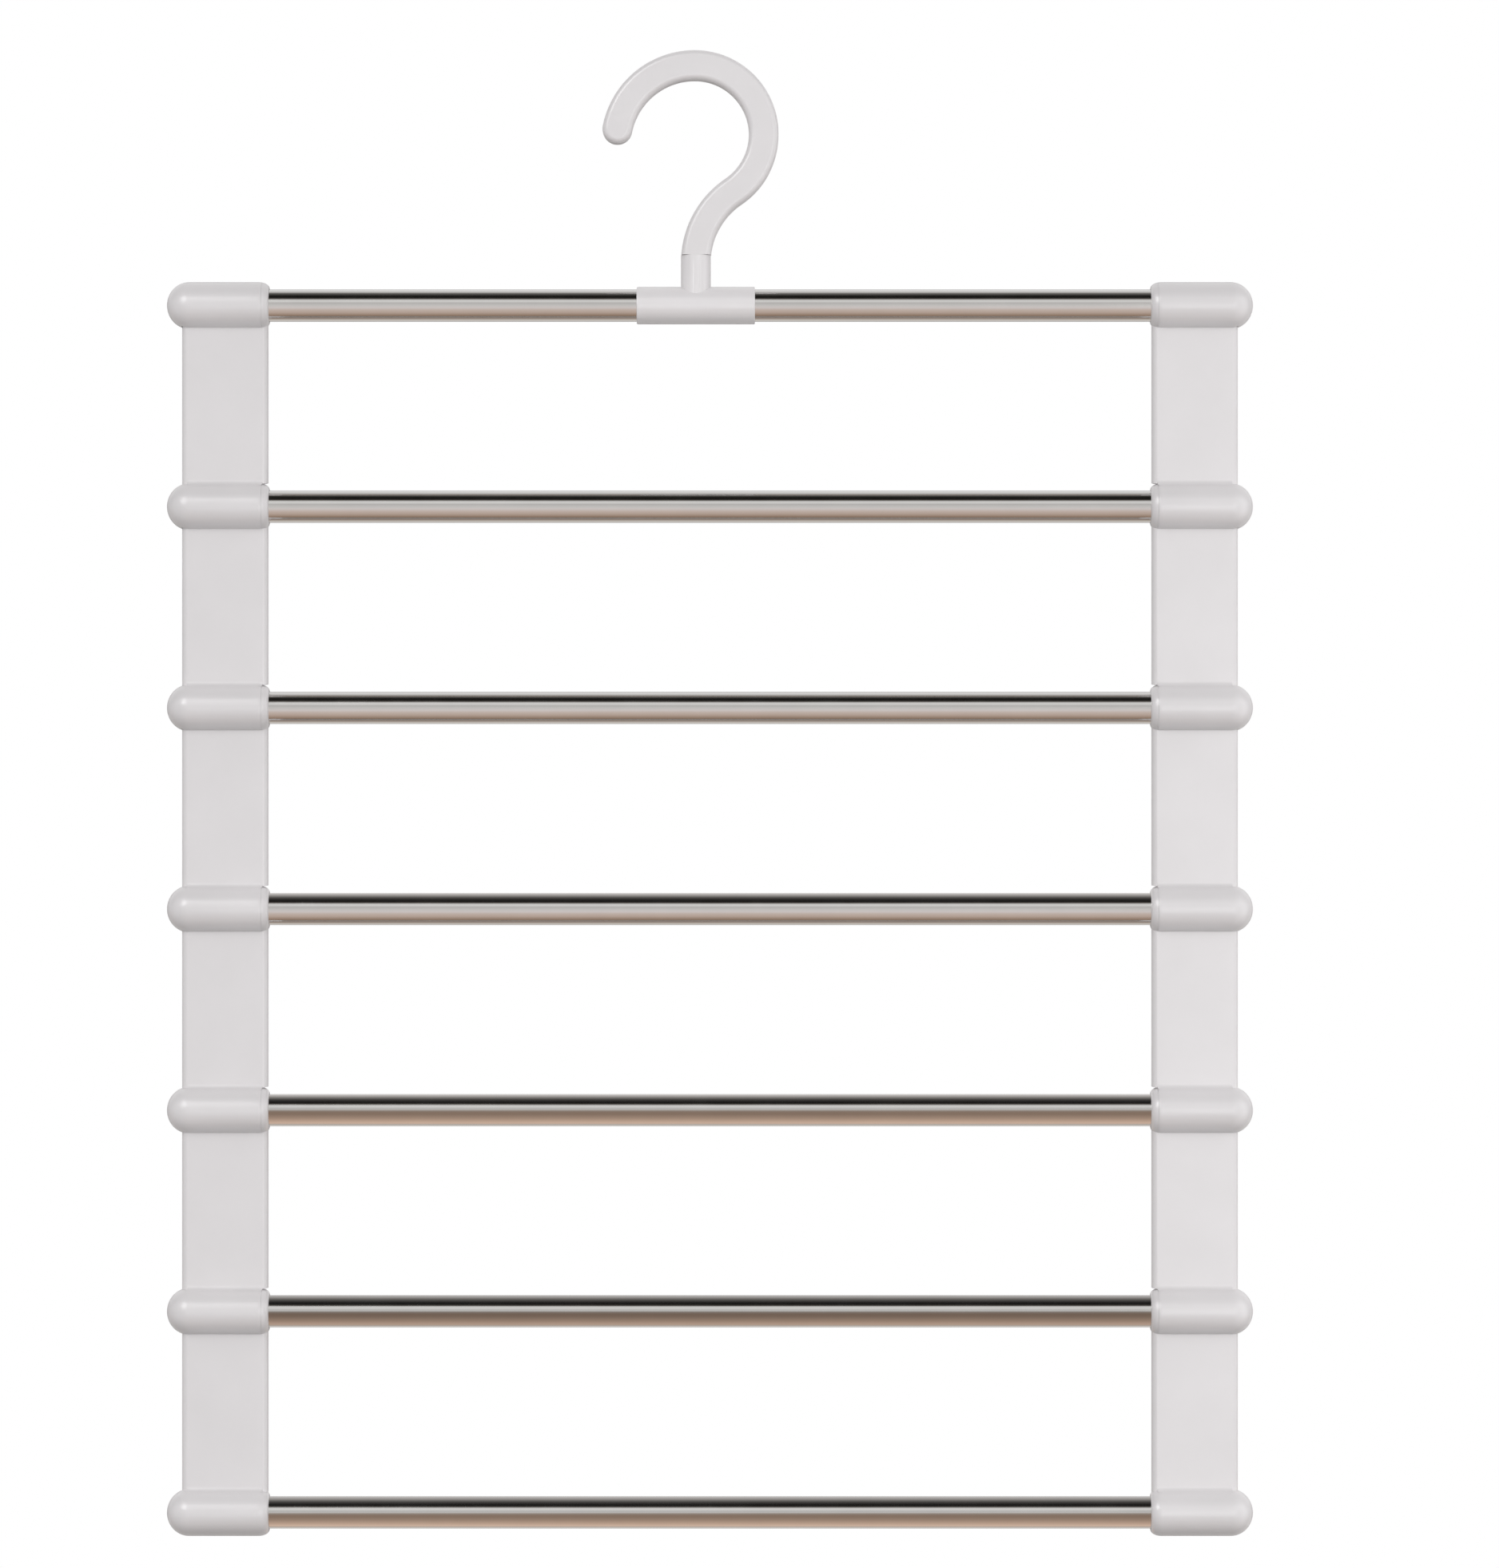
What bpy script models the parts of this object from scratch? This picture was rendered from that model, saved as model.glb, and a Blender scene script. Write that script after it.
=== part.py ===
"""Tiered trouser hanger: seven polished tubes in moulded side links, under a swivelling hook.

Lengths are in metres. +Z is up and +Y points to the rear. The origin is the rail seat: the inner crown of the
hook, on the upright axis that the hook swivels about.

Each bar is the hinge pin of the links that hang on it. A link has an eye round the bar above, a flat plate, and
a barrel that is pushed on the end of the bar below. The eye turns inside the barrel of the tier above, and its
plate leaves that barrel through a slot that lets the lower tiers fold up to the rear.
"""

import math

import bmesh
import bpy
from mathutils import Matrix

# Ladder

TIERS = 7
TIER_PITCH = 0.070
CLEAR_SPAN = 0.3072
LADDER_OFFSET = 0.0049

# Bars

BAR_DIAMETER = 0.0112
BAR_WALL = 0.0005

# Side links

PLATE_WIDTH = 0.030
PLATE_THICKNESS = 0.0045
PLATE_EDGE_RADIUS = 0.002
ROOT_FILLET = 0.002
EYE_WALL = 0.0008
BARREL_WALL = 0.00125
DOME_DEPTH = 0.0053
NOSE_RADIUS = 0.0022
NOSE_PROUD = 0.0004
COLLAR_LAND = 0.0003
SPIGOT_LENGTH = 0.012
SPIGOT_RIB = 0.0018
SPIGOT_DRAFT = 0.0002
FOLD_ANGLE = math.radians(45)
FOLD_MARGIN = math.radians(3)

# Tee sleeve

SLEEVE_LENGTH = 0.0411
SLEEVE_WALL = 0.0007
BOSS_DIAMETER = 0.0104
BOSS_FLOOR = 0.0042
EDGE_BREAK = 0.0004

# Snap stud under the hook

STUD_RADIUS = 0.0026
HEAD_RADIUS = 0.0034
HEAD_HEIGHT = 0.0032
HEAD_ROOM = 0.001
LIP_THICKNESS = 0.003
SPLIT_WIDTH = 0.001

# Hook

HOOK_WIDTH = 0.0103
HOOK_DEPTH = 0.009
HOOK_EDGE_RADIUS = 0.002
CROWN_RADIUS = 0.024
CROWN_OFFSET = -0.0004
CROWN_RISE = 0.0445
TIP_SIDE_RADIUS = 0.0274
TIP_ANGLE = math.radians(169)
BEND_DROP = 0.0028

# Clearances

BORE_CLEARANCE = 0.0002
EYE_CLEARANCE = 0.0003
SPIGOT_CLEARANCE = 0.00025
STUD_CLEARANCE = 0.0003
SLOT_CLEARANCE = 0.0003
SEAT_GAP = 0.0003

# Facets

TURN_STEPS = 24
DOME_STEPS = 3
FILLET_STEPS = 3
HOOK_STEP = math.radians(12)
MERGE_DISTANCE = 0.00001
SHARP_ANGLE = math.radians(35)

# Overlap of shapes that are joined into one moulding, and reach of a cutter past what it cuts
OVERLAP = 0.001
REACH = 0.002

# Radii about a bar

bar_radius = BAR_DIAMETER / 2
bore_radius = bar_radius + BORE_CLEARANCE
eye_radius = bore_radius + EYE_WALL
chamber_radius = eye_radius + EYE_CLEARANCE
barrel_radius = chamber_radius + BARREL_WALL
sleeve_radius = bore_radius + SLEEVE_WALL
nose_radius = min(NOSE_RADIUS, barrel_radius - bore_radius - COLLAR_LAND / 2)
plate_edge_radius = min(PLATE_EDGE_RADIUS, 0.48 * PLATE_THICKNESS)

# Places along a bar, from the middle of the ladder to the right

plate_inner = CLEAR_SPAN / 2
plate_outer = plate_inner + PLATE_WIDTH
nose_face = plate_inner - NOSE_PROUD
collar_back = nose_face + nose_radius + COLLAR_LAND
barrel_mouth = collar_back + SEAT_GAP
bar_end = plate_outer
barrel_floor = bar_end + SEAT_GAP
eye_end = plate_outer - SEAT_GAP
dome_apex = plate_outer + DOME_DEPTH

# Heights above the axis of the first bar

chamber_low = bore_radius + BOSS_FLOOR
head_low = chamber_low + HEAD_ROOM
head_high = head_low + HEAD_HEIGHT
lip_low = head_high + SEAT_GAP
boss_top = lip_low + LIP_THICKNESS
shoulder = boss_top + SEAT_GAP
bend_start = shoulder - BEND_DROP
crown_centre = bend_start + CROWN_RISE
crown_line = crown_centre + CROWN_RADIUS
first_bar_height = HOOK_WIDTH / 2 - crown_line


def new_collection(name):
    """An empty collection in the scene."""
    collection = bpy.data.collections.new(name)
    bpy.context.scene.collection.children.link(collection)
    return collection


def clear_scene():
    """Take every object out of the scene."""
    for obj in list(bpy.data.objects):
        bpy.data.objects.remove(obj, do_unlink=True)


clear_scene()
parts = new_collection("tiered_trouser_hanger")
cutters = new_collection("cutters")


def add_tool(name, mesh):
    """A hidden shape that joins or cuts another, kept with the cutters."""
    obj = bpy.data.objects.new(name, mesh)
    obj.hide_render = True
    obj.display_type = "WIRE"
    cutters.objects.link(obj)
    return obj


def mesh_from(name, bm):
    """A mesh made from a bmesh, with its doubles merged and its faces pointing out."""
    bmesh.ops.remove_doubles(bm, verts=bm.verts, dist=MERGE_DISTANCE)
    bmesh.ops.recalc_face_normals(bm, faces=bm.faces)
    mesh = bpy.data.meshes.new(name)
    bm.to_mesh(mesh)
    bm.free()
    return mesh


def bake(obj):
    """Replace an object's mesh by what its modifiers or its curve make of it."""
    bpy.context.view_layer.update()
    depsgraph = bpy.context.evaluated_depsgraph_get()
    mesh = bpy.data.meshes.new_from_object(obj.evaluated_get(depsgraph))
    bm = bmesh.new()
    bm.from_mesh(mesh)
    return mesh_from(obj.name, bm)


def box(name, low, high):
    """A box between two corners."""
    size = [b - a for a, b in zip(low, high)]
    centre = [(a + b) / 2 for a, b in zip(low, high)]
    bm = bmesh.new()
    bmesh.ops.create_cube(bm, size=1, matrix=Matrix.Translation(centre) @ Matrix.Diagonal((*size, 1)))
    return add_tool(name, mesh_from(name, bm))


def turned(name, profile, axis):
    """Turn a profile of (place along the axis, radius) points round the X or the Z axis.

    A profile whose two ends lie on the axis stays open there, and any other is closed into a ring.
    """
    if axis == "X":
        points = [(place, 0, radius) for place, radius in profile]
    else:
        points = [(radius, 0, place) for place, radius in profile]
    edges = [(i, i + 1) for i in range(len(points) - 1)]
    if profile[0][1] > 0:
        edges.append((len(points) - 1, 0))
    mesh = bpy.data.meshes.new(name)
    mesh.from_pydata(points, edges, [])
    obj = add_tool(name, mesh)
    screw = obj.modifiers.new("turn", "SCREW")
    screw.axis = axis
    screw.steps = TURN_STEPS
    screw.render_steps = TURN_STEPS
    screw.use_merge_vertices = True
    screw.merge_threshold = MERGE_DISTANCE
    obj.data = bake(obj)
    obj.modifiers.clear()
    return obj


def flat(name, outline, thickness, plane):
    """A plate of an outline's shape. Plane XZ is centred on Y = 0, and plane YZ on X = 0."""
    curve = bpy.data.curves.new(name, "CURVE")
    curve.dimensions = "2D"
    curve.fill_mode = "BOTH"
    curve.extrude = thickness / 2
    spline = curve.splines.new("POLY")
    spline.points.add(len(outline) - 1)
    for point, (across, up) in zip(spline.points, outline):
        point.co = (across, up, 0, 1)
    spline.use_cyclic_u = True
    guide = add_tool(name + "_outline", curve)
    bm = bmesh.new()
    bm.from_mesh(bake(guide))
    bpy.data.objects.remove(guide)
    bmesh.ops.dissolve_limit(bm, angle_limit=math.radians(1), verts=bm.verts, edges=bm.edges)
    turn = Matrix.Rotation(math.radians(90), 4, "X")
    if plane == "YZ":
        turn = Matrix.Rotation(math.radians(90), 4, "Z") @ turn
    bmesh.ops.transform(bm, matrix=turn, verts=bm.verts)
    return add_tool(name, mesh_from(name, bm))


def moulded(name, base, steps):
    """Join and cut a base shape, one (operation, tool) step after the other."""
    obj = add_tool(name, base.data.copy())
    for operation, tool in steps:
        modifier = obj.modifiers.new(operation.lower(), "BOOLEAN")
        modifier.operation = operation
        modifier.solver = "EXACT"
        modifier.object = tool
        obj.data = bake(obj)
        obj.modifiers.clear()
    mesh = obj.data
    bpy.data.objects.remove(obj)
    return mesh


def mirrored(mesh):
    """The left-hand copy of a right-hand mesh."""
    left = mesh.copy()
    left.transform(Matrix.Scale(-1, 4, (1, 0, 0)))
    left.flip_normals()
    return left


def arc(centre, radius, start, end, steps):
    """Points of an arc in its plane, both ends included."""
    angles = [start + (end - start) * i / steps for i in range(steps + 1)]
    return [(centre[0] + radius * math.cos(a), centre[1] + radius * math.sin(a)) for a in angles]


def material(name, color, roughness, metallic=0.0):
    """A plain finish."""
    finish = bpy.data.materials.new(name)
    finish.use_nodes = True
    shader = finish.node_tree.nodes["Principled BSDF"]
    shader.inputs["Base Color"].default_value = (*color, 1)
    shader.inputs["Roughness"].default_value = roughness
    shader.inputs["Metallic"].default_value = metallic
    return finish


steel = material("polished_steel", (0.62, 0.61, 0.60), 0.12, 1.0)
white_plastic = material("white_plastic", (0.74, 0.73, 0.72), 0.3)


def pivot(name, parent, place):
    """An empty on a joint's axis, at a place in the hanger's frame."""
    empty = bpy.data.objects.new(name, None)
    empty.empty_display_size = TIER_PITCH / 4
    parts.objects.link(empty)
    attach(empty, parent, place)
    return empty


def attach(obj, parent, place):
    """Put an object at a place in the hanger's frame, under a parent that is itself unturned."""
    bpy.context.view_layer.update()
    obj.parent = parent
    origin = parent.matrix_world.translation if parent else (0, 0, 0)
    obj.location = [a - b for a, b in zip(place, origin)]


def add_piece(name, mesh, finish, parent, place):
    """A finished piece of the hanger."""
    obj = bpy.data.objects.new(name, mesh)
    if not mesh.materials:
        mesh.materials.append(finish)
        mesh.shade_smooth()
        mesh.set_sharp_from_angle(angle=SHARP_ANGLE)
    parts.objects.link(obj)
    attach(obj, parent, place)
    return obj


def nose_arc():
    """The bull nose round the bar, from the barrel's surface down to the flat face."""
    centre = (nose_face + nose_radius, barrel_radius - nose_radius)
    return arc(centre, nose_radius, math.radians(90), math.radians(180), FILLET_STEPS)


def dome_arc():
    """The elliptical dome, from the barrel's surface to the apex on the axis."""
    angles = [math.radians(90) * i / DOME_STEPS for i in range(DOME_STEPS + 1)]
    points = [(plate_outer + DOME_DEPTH * math.sin(a), barrel_radius * math.cos(a)) for a in angles]
    points[-1] = (dome_apex, 0)
    return points


def cylinder_cutter(name, radius, low, high):
    """A bore along X."""
    return turned(name, [(low, 0), (low, radius), (high, radius), (high, 0)], "X")


def bar_mesh():
    """A tube that is open at both ends."""
    inner = bar_radius - BAR_WALL
    profile = [(-bar_end, inner), (-bar_end, bar_radius), (bar_end, bar_radius), (bar_end, inner)]
    return turned("bar_tube", profile, "X").data


def spigot_shape():
    """Two crossed ribs, thinner at their edges, on the barrel's floor that plug the end of the bar."""
    reach = bar_radius - BAR_WALL - SPIGOT_CLEARANCE
    root = SPIGOT_RIB / 2
    edge = root - SPIGOT_DRAFT
    quarter = [(edge, -reach), (root, -root), (reach, -edge)]
    outline = quarter + [(y, -z) for y, z in quarter[::-1]]
    outline += [(-y, -z) for y, z in outline]
    spigot = flat("spigot", outline, SPIGOT_LENGTH + OVERLAP, "YZ")
    spigot.data.transform(Matrix.Translation((barrel_floor + (OVERLAP - SPIGOT_LENGTH) / 2, 0, 0)))
    return spigot


def open_barrel_shape():
    """The barrel that houses an eye: a domed cylinder whose mouth stops short of the eye's collar."""
    profile = [(barrel_mouth, 0), (barrel_mouth, barrel_radius)] + dome_arc()
    return turned("open_barrel", profile, "X")


def closed_barrel_shape():
    """The lowest barrel: it houses no eye, so it has the bull nose itself."""
    profile = [(nose_face, 0)] + nose_arc()[::-1] + dome_arc()
    return turned("closed_barrel", profile, "X")


def chamber_cutter():
    """Room for the eye in a barrel, and beside its mouth for the collar."""
    collar_room = barrel_radius + SEAT_GAP
    low = nose_face - REACH
    profile = [
        (low, 0),
        (low, collar_room),
        (barrel_mouth, collar_room),
        (barrel_mouth, chamber_radius),
        (barrel_floor, chamber_radius),
        (barrel_floor, 0),
    ]
    return turned("chamber", profile, "X")


def slot_cutter():
    """The wedge under a barrel that a plate sweeps as it folds to the rear."""
    half = PLATE_THICKNESS / 2 + SLOT_CLEARANCE
    sweep = FOLD_ANGLE + FOLD_MARGIN
    reach = barrel_radius + REACH
    front = [(-half, 0), (-half, -reach)]
    middle = arc((0, 0), reach * math.sqrt(2), math.radians(-90), math.radians(-90) + sweep, 1)
    across = (math.sin(sweep), -math.cos(sweep))
    normal = (math.cos(sweep), math.sin(sweep))
    rear = [
        (across[0] * reach + normal[0] * half, across[1] * reach + normal[1] * half),
        (normal[0] * half, normal[1] * half),
    ]
    slot = flat("slot", front + middle + rear, barrel_floor - barrel_mouth + REACH, "YZ")
    slot.data.transform(Matrix.Translation(((barrel_mouth - REACH + barrel_floor) / 2, 0, 0)))
    return slot


def eye_shape():
    """The link's upper end: a thin eye behind a collar with a bull nose, both solid before the bore."""
    profile = [(nose_face, 0)] + nose_arc()[::-1]
    profile += [(collar_back, barrel_radius), (collar_back, eye_radius), (eye_end, eye_radius), (eye_end, 0)]
    return turned("eye", profile, "X")


def plate_shape():
    """The flat plate between the two bars' axes, with rounded upright edges."""
    low = (plate_inner, -PLATE_THICKNESS / 2, -TIER_PITCH)
    high = (plate_outer, PLATE_THICKNESS / 2, 0)
    plate = box("plate", low, high)
    bm = bmesh.new()
    bm.from_mesh(plate.data)
    upright = [e for e in bm.edges if abs(e.verts[0].co.z - e.verts[1].co.z) > TIER_PITCH / 2]
    bmesh.ops.bevel(bm, geom=upright, offset=plate_edge_radius, segments=FILLET_STEPS, profile=0.5,
                    affect="EDGES")
    plate.data = mesh_from("plate", bm)
    return plate


def root_shape():
    """The fillets in which the plate runs out on top of its own barrel, about the lower bar's axis."""
    half = PLATE_THICKNESS / 2
    side = half + ROOT_FILLET
    rise = math.sqrt((barrel_radius + ROOT_FILLET) ** 2 - side ** 2)
    foot = math.atan2(-rise, -side)
    rear = arc((side, rise), ROOT_FILLET, math.radians(180), math.radians(360) + foot, FILLET_STEPS)
    front = [(-y, z) for y, z in rear[::-1]]
    outline = rear + [(0, barrel_radius - OVERLAP)] + front
    root = flat("root_fillets", outline, PLATE_WIDTH - 2 * plate_edge_radius, "YZ")
    root.data.transform(Matrix.Translation(((plate_inner + plate_outer) / 2, 0, 0)))
    return root


def moved_down(tool):
    """A copy of a tool about the axis of the bar below."""
    mesh = tool.data.copy()
    mesh.transform(Matrix.Translation((0, 0, -TIER_PITCH)))
    return add_tool(tool.name + "_below", mesh)


spigot = spigot_shape()
bar_bore = cylinder_cutter("bar_bore", bore_radius, nose_face - REACH, barrel_floor)
room_for_bar = add_tool("room_for_bar", moulded("bar_room", bar_bore, [("DIFFERENCE", spigot)]))
room_for_eye = add_tool("room_for_eye", moulded("eye_room", chamber_cutter(), [("DIFFERENCE", spigot)]))
open_barrel = open_barrel_shape()
closed_barrel = closed_barrel_shape()
slot = slot_cutter()
root = root_shape()
eye = eye_shape()
eye_bore = cylinder_cutter("eye_bore", bore_radius, nose_face - REACH, plate_outer + REACH)
plate = plate_shape()

cap_right = moulded("top_cap", open_barrel, [("DIFFERENCE", slot), ("DIFFERENCE", room_for_eye)])


def link_mesh(name, barrel, rooms):
    """A plate with its eye at the top and its barrel at the bottom, joined first and hollowed afterwards."""
    joins = [("UNION", moved_down(root)), ("UNION", moved_down(barrel)), ("UNION", eye)]
    hollows = [("DIFFERENCE", moved_down(room)) for room in rooms] + [("DIFFERENCE", eye_bore)]
    return moulded(name, plate, joins + hollows)


link_right = link_mesh("side_link", open_barrel, [slot, room_for_eye])
last_link_right = link_mesh("last_side_link", closed_barrel, [room_for_bar])


def tee_mesh():
    """The sleeve on the first bar, and its boss whose lip holds the hook's stud."""
    half = SLEEVE_LENGTH / 2
    sleeve = turned("sleeve", [
        (-half, 0),
        (-half, sleeve_radius - EDGE_BREAK),
        (-half + EDGE_BREAK, sleeve_radius),
        (half - EDGE_BREAK, sleeve_radius),
        (half, sleeve_radius - EDGE_BREAK),
        (half, 0),
    ], "X")
    boss_radius = BOSS_DIAMETER / 2
    boss = turned("boss", [
        (boss_top, 0),
        (boss_top, boss_radius - EDGE_BREAK),
        (boss_top - EDGE_BREAK, boss_radius),
        (0, boss_radius),
        (0, 0),
    ], "Z")
    socket = turned("stud_socket", [
        (boss_top + REACH, 0),
        (boss_top + REACH, STUD_RADIUS + STUD_CLEARANCE),
        (lip_low, STUD_RADIUS + STUD_CLEARANCE),
        (lip_low, HEAD_RADIUS + STUD_CLEARANCE),
        (chamber_low, HEAD_RADIUS + STUD_CLEARANCE),
        (chamber_low, 0),
    ], "Z")
    bore = cylinder_cutter("sleeve_bore", bore_radius, -half - REACH, half + REACH)
    return moulded("tee", sleeve, [("UNION", boss), ("DIFFERENCE", bore), ("DIFFERENCE", socket)])


def hook_outline():
    """The hook seen from the front: both sides of its centre line, and the round tip.

    An S bend leads out of the upright neck into the side arc, which runs over the crown, and a wider arc comes
    down to the tip. The arcs meet in line with each other.
    """
    half = HOOK_WIDTH / 2
    bend = (CROWN_RISE ** 2 + CROWN_OFFSET ** 2 - CROWN_RADIUS ** 2) / (2 * (CROWN_RADIUS + CROWN_OFFSET))
    turn = math.atan2(CROWN_RISE, bend - CROWN_OFFSET)
    crown = math.radians(90)
    tip_centre = (CROWN_OFFSET, crown_line - TIP_SIDE_RADIUS)
    side = []
    for offset in (half, -half):
        run = [(-offset, bend_start - REACH)]
        run += arc((bend, bend_start), bend + offset, math.radians(180), math.radians(180) - turn,
                   math.ceil(turn / HOOK_STEP))
        run += arc((CROWN_OFFSET, crown_centre), CROWN_RADIUS - offset, -turn, crown,
                   math.ceil((crown + turn) / HOOK_STEP))[1:]
        run += arc(tip_centre, TIP_SIDE_RADIUS - offset, crown, TIP_ANGLE,
                   math.ceil((TIP_ANGLE - crown) / HOOK_STEP))[1:]
        side.append(run)
    inner, outer = side
    tip = arc(tip_centre, TIP_SIDE_RADIUS, TIP_ANGLE, TIP_ANGLE, 1)[0]
    end = arc(tip, half, TIP_ANGLE, TIP_ANGLE + math.radians(180), math.ceil(math.pi / HOOK_STEP / 2))
    return outer + end[1:-1] + inner[::-1]


def hook_mesh():
    """The hook with its rounded edges, cut flat at the shoulder, and the split stud under it."""
    blank = flat("hook_blank", hook_outline(), HOOK_DEPTH, "XZ")
    rounding = blank.modifiers.new("rounded_edges", "BEVEL")
    rounding.width = HOOK_EDGE_RADIUS
    rounding.segments = FILLET_STEPS
    rounding.limit_method = "ANGLE"
    rounding.angle_limit = math.radians(50)
    blank.data = bake(blank)
    blank.modifiers.clear()
    wide = HOOK_WIDTH + REACH
    below = box("shoulder_cut", (-wide, -wide, bend_start - 2 * REACH), (wide, wide, shoulder))
    stud = turned("stud", [
        (shoulder + OVERLAP, 0),
        (shoulder + OVERLAP, STUD_RADIUS),
        (head_high, STUD_RADIUS),
        (head_high, HEAD_RADIUS),
        (head_high - HEAD_HEIGHT / 3, HEAD_RADIUS),
        (head_low, STUD_RADIUS - SPLIT_WIDTH / 2),
        (head_low, 0),
    ], "Z")
    half_split = SPLIT_WIDTH / 2
    deep = HEAD_RADIUS + REACH
    split = box("stud_split", (-half_split, -deep, head_low - REACH), (half_split, deep, boss_top - EDGE_BREAK))
    return moulded("hook", blank, [("DIFFERENCE", below), ("UNION", stud), ("DIFFERENCE", split)])


def build_hanger():
    """Place every piece, each tier under the pivot of the one above."""
    raise_to_seat = Matrix.Translation((0, 0, first_bar_height))
    hook = hook_mesh()
    hook.transform(raise_to_seat)
    add_piece("hook", hook, white_plastic, None, (0, 0, 0))

    neck = pivot("neck_swivel", None, (0, 0, first_bar_height + boss_top))
    add_piece("tee_sleeve", tee_mesh(), white_plastic, neck, (0, 0, first_bar_height))

    bar = bar_mesh()
    rights = [cap_right] + [link_right] * (TIERS - 2) + [last_link_right]
    lefts = {mesh.name: mirrored(mesh) for mesh in rights}
    above = pivot("first_bar_slide", neck, (LADDER_OFFSET, 0, first_bar_height))
    add_piece("bar_1", bar, steel, above, (LADDER_OFFSET, 0, first_bar_height))
    for tier, right in enumerate(rights, start=1):
        hinge_height = first_bar_height - TIER_PITCH * max(tier - 2, 0)
        hinge = (LADDER_OFFSET, 0, hinge_height)
        name = "top_cap" if tier == 1 else f"side_link_{tier - 1}"
        above = pivot(f"tier_{tier}_hinge", above, hinge)
        add_piece(name + "_right", right, white_plastic, above, hinge)
        add_piece(name + "_left", lefts[right.name], white_plastic, above, hinge)
        if tier > 1:
            add_piece(f"bar_{tier}", bar, steel, above, (LADDER_OFFSET, 0, hinge_height - TIER_PITCH))
    bpy.context.view_layer.update()


build_hanger()
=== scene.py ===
"""Looks of the tiered trouser hanger.

Seven polished tubes lie between moulded side links, and a hook swivels on a tee sleeve round the
top tube. Lengths are in metres, +Z is up, +Y points to the rear and the hook's inner crown is the
origin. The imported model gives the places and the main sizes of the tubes, sleeve and side links.
"""

import math

import bmesh
import bpy
from mathutils import Matrix, Vector


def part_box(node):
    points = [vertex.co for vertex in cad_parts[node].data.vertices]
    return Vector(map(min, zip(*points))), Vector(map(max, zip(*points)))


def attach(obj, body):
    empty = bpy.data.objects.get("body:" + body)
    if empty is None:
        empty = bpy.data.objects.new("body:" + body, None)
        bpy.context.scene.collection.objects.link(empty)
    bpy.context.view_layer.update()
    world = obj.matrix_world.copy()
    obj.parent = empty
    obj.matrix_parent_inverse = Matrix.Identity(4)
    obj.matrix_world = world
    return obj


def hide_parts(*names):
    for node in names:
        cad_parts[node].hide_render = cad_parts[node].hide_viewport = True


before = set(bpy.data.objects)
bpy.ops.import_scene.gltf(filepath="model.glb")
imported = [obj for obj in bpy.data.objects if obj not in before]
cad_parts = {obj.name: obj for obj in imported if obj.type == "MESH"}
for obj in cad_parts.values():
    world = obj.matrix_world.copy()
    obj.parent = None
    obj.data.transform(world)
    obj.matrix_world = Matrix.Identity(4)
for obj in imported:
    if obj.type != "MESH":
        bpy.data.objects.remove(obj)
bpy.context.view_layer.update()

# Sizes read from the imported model

bar_low, bar_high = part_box("bar_1")
next_bar_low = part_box("bar_2")[0]
cap_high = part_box("top_cap_right")[1]
link_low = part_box("side_link_1_right")[0]
sleeve_low, sleeve_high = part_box("tee_sleeve")

middle = (bar_low.x + bar_high.x) / 2
first_axis = (bar_low.z + bar_high.z) / 2
pitch = bar_low.z - next_bar_low.z
tiers = sum(name.startswith("bar_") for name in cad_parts)
bar_radius = (bar_high.z - bar_low.z) / 2
bar_half = (bar_high.x - bar_low.x) / 2
barrel_radius = cap_high.z - first_axis
nose_face = link_low.x - middle
dome_apex = cap_high.x - middle
sleeve_half = (sleeve_high.x - sleeve_low.x) / 2
sleeve_radius = first_axis - sleeve_low.z
boss_top = sleeve_high.z - first_axis

# Tubes

TUBE_WALL = 0.0005
TUBE_LIP = 0.00015
TUBE_LIP_STEPS = 3
TUBE_SIDES = 96
TUBE_SHARP = math.radians(8)

# Side links

PLATE_THICKNESS = 0.0045
PLATE_EDGE = 0.002
NOSE_DROP = 0.0022
NOSE_LENGTH = 0.0038
NOSE_PROUD = 0.0004
ROOT_FILLET = 0.002
DOME_DEPTH = 0.0053
DOME_LENGTH = 0.0078
EYE_WALL = 0.0008
BORE_CLEARANCE = 0.0001
EYE_CLEARANCE = 0.0001
COLLAR_LENGTH = 0.0025
MOUTH_SEAM = 0.00004
SLOT_SEAM = 0.00012
FOLD_OPENING = math.radians(48)
LIP_SHARP = math.radians(50)
LIP_ROUND = 0.0002
LIP_STEPS = 2

# Tee sleeve

BOSS_RADIUS = 0.0052
BOSS_EDGE = 0.00012
FOOT_SHARP = math.radians(40)
FOOT_FILLET = 0.0006
FOOT_STEPS = 4
SLEEVE_EDGE = 0.0004
RIM_STEPS = 3
STUD_RADIUS = 0.0026
STUD_HEAD = 0.0034
SOCKET_FLOOR = 0.010
SOCKET_LIP = 0.0145

# Hook

HOOK_WIDTH = 0.0103
HOOK_DEPTH = 0.009
HOOK_ROUND = 0.002
HOOK_ROUND_STEPS = 6
HOOK_SHARP = math.radians(50)
CROWN_RADIUS = 0.024
CROWN_OFFSET = -0.0004
CROWN_RISE = 0.0445
TIP_SIDE_RADIUS = 0.0274
TIP_ANGLE = math.radians(169)
SHOULDER_GAP = 0.00004
HOOK_STEP = math.radians(3)

# Facets and tolerances

TURN_STEPS = 96
ARC_STEPS = 8
DOME_STEPS = 14
QUARTER_TURN = math.radians(90)
HALF_TURN = math.radians(180)
MERGE = 0.000002
SHARP = math.radians(28)
FACE_WEIGHT = 50
ROUND_PROFILE = 0.5

# How far a cutter reaches past a surface, and how deep joined shapes overlap
REACH = 0.002
OVERLAP = 0.001

# Places along a bar, from the middle of the ladder to the right

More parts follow.
